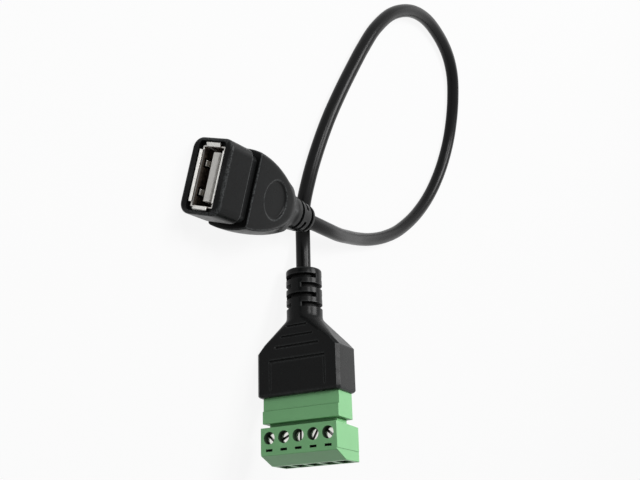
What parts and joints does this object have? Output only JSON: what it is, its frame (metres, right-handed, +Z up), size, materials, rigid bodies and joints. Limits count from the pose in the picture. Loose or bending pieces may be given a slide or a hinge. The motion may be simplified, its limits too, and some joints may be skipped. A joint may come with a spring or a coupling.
{
  "type": "usb-a socket lead with screw terminal",
  "caption": "Short black lead from a USB-A socket to a pluggable green screw terminal; each slotted screw raises the cage that clamps a wire.",
  "frame": {"origin": "on the table, on the flat underside of the socket's front block, 4 mm behind its mouth", "axes": "+Z up from the table; the socket's mouth faces -Y; +X towards the terminal end"},
  "size_m": [0.1319, 0.1201, 0.0277],
  "materials": {
    "black_pvc": "satin black PVC, moulded and extruded",
    "terminal_green": "smooth moulded green polyamide",
    "nickel": "bright nickel plating",
    "tinned_wire": "dull tin plating",
    "contact_brass": "plain brass",
    "tongue_grey": "light grey moulded plastic",
    "core_red": "red wire insulation",
    "core_white": "white wire insulation",
    "core_green": "green wire insulation",
    "core_black": "black wire insulation"
  },
  "bodies": {
    "lead": {"socket_overmould": "black_pvc", "terminal_overmould": "black_pvc", "cord": "black_pvc", "socket_shell": "nickel", "socket_insulator": "tongue_grey", "socket_drain": "tinned_wire", "terminal_drain": "tinned_wire", "header_housing": "terminal_green", "socket_contact_1": "contact_brass", "socket_core_1": "core_red", "terminal_core_1": "core_red", "socket_contact_2": "contact_brass", "socket_core_2": "core_white", "terminal_core_2": "core_white", "socket_contact_3": "contact_brass", "socket_core_3": "core_green", "terminal_core_3": "core_green", "socket_contact_4": "contact_brass", "socket_core_4": "core_black", "terminal_core_4": "core_black", "header_pin_1": "tinned_wire", "header_pin_2": "tinned_wire", "header_pin_3": "tinned_wire", "header_pin_4": "tinned_wire", "header_pin_5": "tinned_wire"},
    "plug": {"plug_housing": "terminal_green", "plug_contact_1": "tinned_wire", "plug_contact_2": "tinned_wire", "plug_contact_3": "tinned_wire", "plug_contact_4": "tinned_wire", "plug_contact_5": "tinned_wire"},
    "screw_1": {"clamp_screw_1": "nickel"},
    "cage_1": {"clamp_cage_1": "contact_brass"},
    "screw_2": {"clamp_screw_2": "nickel"},
    "cage_2": {"clamp_cage_2": "contact_brass"},
    "screw_3": {"clamp_screw_3": "nickel"},
    "cage_3": {"clamp_cage_3": "contact_brass"},
    "screw_4": {"clamp_screw_4": "nickel"},
    "cage_4": {"clamp_cage_4": "contact_brass"},
    "screw_5": {"clamp_screw_5": "nickel"},
    "cage_5": {"clamp_cage_5": "contact_brass"}
  },
  "joints": [
    {"name": "plug_pull", "type": "slide", "parent": "lead", "child": "plug", "axis": [0.9474, -0.0829, 0.309], "range_m": [0, 0.012]},
    {"name": "screw_turn_1", "type": "hinge", "parent": "plug", "child": "screw_1", "pos_m": [0.05194, 0.03403, 0.00931], "axis": [0.0872, 0.9962, 0], "range_deg": [0, 1990]},
    {"name": "cage_rise_1", "type": "slide", "parent": "plug", "child": "cage_1", "axis": [-0.0872, -0.9962, 0], "range_m": [0, 0.0022]},
    {"name": "screw_turn_2", "type": "hinge", "parent": "plug", "child": "screw_2", "pos_m": [0.05076, 0.03413, 0.01294], "axis": [0.0872, 0.9962, 0], "range_deg": [0, 1990]},
    {"name": "cage_rise_2", "type": "slide", "parent": "plug", "child": "cage_2", "axis": [-0.0872, -0.9962, 0], "range_m": [0, 0.0022]},
    {"name": "screw_turn_3", "type": "hinge", "parent": "plug", "child": "screw_3", "pos_m": [0.04959, 0.03424, 0.01656], "axis": [0.0872, 0.9962, 0], "range_deg": [0, 1990]},
    {"name": "cage_rise_3", "type": "slide", "parent": "plug", "child": "cage_3", "axis": [-0.0872, -0.9962, 0], "range_m": [0, 0.0022]},
    {"name": "screw_turn_4", "type": "hinge", "parent": "plug", "child": "screw_4", "pos_m": [0.04842, 0.03434, 0.02018], "axis": [0.0872, 0.9962, 0], "range_deg": [0, 1990]},
    {"name": "cage_rise_4", "type": "slide", "parent": "plug", "child": "cage_4", "axis": [-0.0872, -0.9962, 0], "range_m": [0, 0.0022]},
    {"name": "screw_turn_5", "type": "hinge", "parent": "plug", "child": "screw_5", "pos_m": [0.04724, 0.03444, 0.02381], "axis": [0.0872, 0.9962, 0], "range_deg": [0, 1990]},
    {"name": "cage_rise_5", "type": "slide", "parent": "plug", "child": "cage_5", "axis": [-0.0872, -0.9962, 0], "range_m": [0, 0.0022]}
  ],
  "couplings": [
    {"joint": "screw_turn_1", "follows": "cage_rise_1", "rad_per_m": 15708},
    {"joint": "screw_turn_2", "follows": "cage_rise_2", "rad_per_m": 15708},
    {"joint": "screw_turn_3", "follows": "cage_rise_3", "rad_per_m": 15708},
    {"joint": "screw_turn_4", "follows": "cage_rise_4", "rad_per_m": 15708},
    {"joint": "screw_turn_5", "follows": "cage_rise_5", "rad_per_m": 15708}
  ]
}
